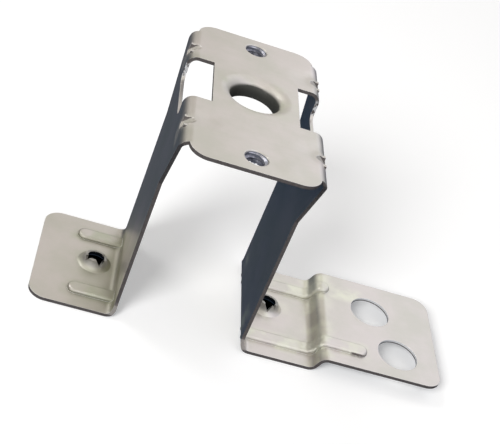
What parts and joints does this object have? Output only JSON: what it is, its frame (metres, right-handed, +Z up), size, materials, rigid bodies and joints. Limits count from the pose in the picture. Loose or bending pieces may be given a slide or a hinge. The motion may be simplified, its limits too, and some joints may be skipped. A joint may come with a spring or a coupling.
{
  "type": "stamped sheet-metal mounting bracket",
  "caption": "Folded steel bridge bracket: a pierced plate raised on legs, with a short foot at one end and a long stepped foot with bolt holes at the other",
  "frame": {"origin": "middle of the whole outline in X and Y, on the plane the undersides of the feet rest on", "axes": "+Z up from the feet to the plate, +X from the short foot along the bracket to the outer pad, Y across the bracket"},
  "size_m": [0.1226, 0.0684, 0.068],
  "materials": {
    "steel": "galvanised, rolled and handled, dull sheen"
  },
  "bodies": {
    "root": {"bracket": "steel"}
  },
  "joints": []
}
